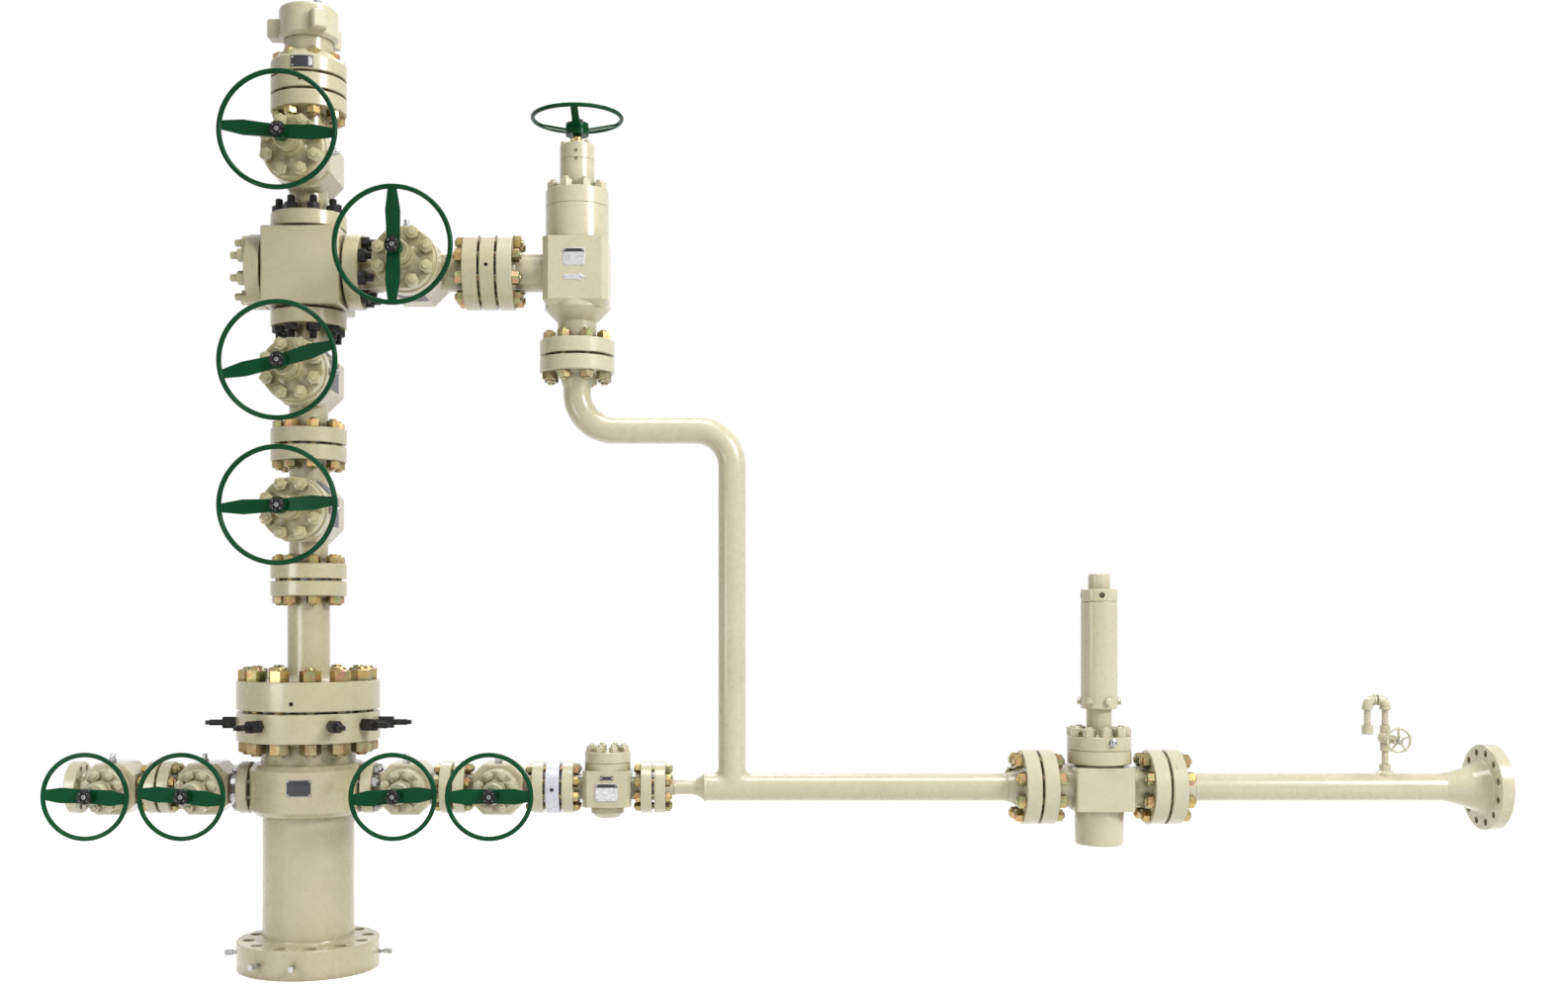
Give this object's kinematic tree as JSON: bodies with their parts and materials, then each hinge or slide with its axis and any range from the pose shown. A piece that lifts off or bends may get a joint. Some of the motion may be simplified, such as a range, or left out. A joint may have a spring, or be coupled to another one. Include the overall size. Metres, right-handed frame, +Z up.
{
  "type": "gas wellhead valve stack",
  "caption": "Flanged wellhead valve tree on a tubing head, with handwheel gate valves, a choke, a safety valve and a flow line along one side.",
  "frame": {"origin": "centre of the lower face of the wellhead flange", "axes": "+Z up the stack, +X along the flow line, handwheels towards -Y"},
  "size_m": [5.929, 0.8951, 3.983],
  "materials": {
    "ivory_paint": "gloss enamel",
    "green_paint": "gloss enamel",
    "black_steel": "black oxide",
    "plated_steel": "zinc plated",
    "bright_steel": "machined"
  },
  "bodies": {
    "stack": {"tubing_head": "ivory_paint", "lockdown_screws": "black_steel", "base_fittings": "plated_steel", "tubing_head_adapter": "ivory_paint", "flow_cross": "ivory_paint", "cross_blind_flange": "ivory_paint", "tree_test_rings": "ivory_paint", "side_test_ring": "bright_steel", "tree_cap": "ivory_paint", "tree_cap_nut": "ivory_paint", "choke_body": "ivory_paint", "choke_bonnet": "ivory_paint", "riser_pipe": "ivory_paint", "header_pipe": "ivory_paint", "outlet_pipe": "ivory_paint", "outlet_flange": "ivory_paint", "check_valve_body": "ivory_paint", "check_valve_cap": "ivory_paint", "safety_valve_body": "ivory_paint", "safety_valve_bonnet": "ivory_paint", "safety_valve_actuator": "ivory_paint", "bleed_line": "ivory_paint", "bleed_valve": "ivory_paint", "ring_gaskets": "plated_steel", "lower_master_body": "ivory_paint", "lower_master_bonnet": "ivory_paint", "upper_master_body": "ivory_paint", "upper_master_bonnet": "ivory_paint", "swab_body": "ivory_paint", "swab_bonnet": "ivory_paint", "wing_body": "ivory_paint", "wing_bonnet": "ivory_paint", "outer_left_body": "ivory_paint", "outer_left_bonnet": "ivory_paint", "inner_left_body": "ivory_paint", "inner_left_bonnet": "ivory_paint", "inner_right_body": "ivory_paint", "inner_right_bonnet": "ivory_paint", "outer_right_body": "ivory_paint", "outer_right_bonnet": "ivory_paint"},
    "lower_master_handwheel": {"lower_master_handwheel": "green_paint"},
    "upper_master_handwheel": {"upper_master_handwheel": "green_paint"},
    "swab_handwheel": {"swab_handwheel": "green_paint"},
    "wing_handwheel": {"wing_handwheel": "green_paint"},
    "outer_left_handwheel": {"outer_left_handwheel": "green_paint"},
    "inner_left_handwheel": {"inner_left_handwheel": "green_paint"},
    "inner_right_handwheel": {"inner_right_handwheel": "green_paint"},
    "outer_right_handwheel": {"outer_right_handwheel": "green_paint"},
    "choke_handwheel": {"choke_handwheel": "green_paint"},
    "bleed_handwheel": {"bleed_handwheel": "ivory_paint"}
  },
  "joints": [
    {"name": "lower_master_turn", "type": "hinge", "parent": "stack", "child": "lower_master_handwheel", "pos_m": [0, -0.505, 1.8885], "axis": [0, -1, 0], "continuous": true},
    {"name": "upper_master_turn", "type": "hinge", "parent": "stack", "child": "upper_master_handwheel", "pos_m": [0, -0.505, 2.4475], "axis": [0, -1, 0], "continuous": true},
    {"name": "swab_turn", "type": "hinge", "parent": "stack", "child": "swab_handwheel", "pos_m": [0, -0.505, 3.3365], "axis": [0, -1, 0], "continuous": true},
    {"name": "wing_turn", "type": "hinge", "parent": "stack", "child": "wing_handwheel", "pos_m": [0.4445, -0.505, 2.892], "axis": [0, -1, 0], "continuous": true},
    {"name": "outer_left_turn", "type": "hinge", "parent": "stack", "child": "outer_left_handwheel", "pos_m": [-0.7985, -0.355, 0.745], "axis": [0, -1, 0], "continuous": true},
    {"name": "inner_left_turn", "type": "hinge", "parent": "stack", "child": "inner_left_handwheel", "pos_m": [-0.4175, -0.355, 0.745], "axis": [0, -1, 0], "continuous": true},
    {"name": "inner_right_turn", "type": "hinge", "parent": "stack", "child": "inner_right_handwheel", "pos_m": [0.4175, -0.355, 0.745], "axis": [0, -1, 0], "continuous": true},
    {"name": "outer_right_turn", "type": "hinge", "parent": "stack", "child": "outer_right_handwheel", "pos_m": [0.7985, -0.355, 0.745], "axis": [0, -1, 0], "continuous": true},
    {"name": "choke_turn", "type": "hinge", "parent": "stack", "child": "choke_handwheel", "pos_m": [1.12, 0, 3.462], "axis": [0, 0, 1], "continuous": true},
    {"name": "bleed_turn", "type": "hinge", "parent": "stack", "child": "bleed_handwheel", "pos_m": [4.491, -0.128, 0.95], "axis": [0, -1, 0], "continuous": true}
  ]
}
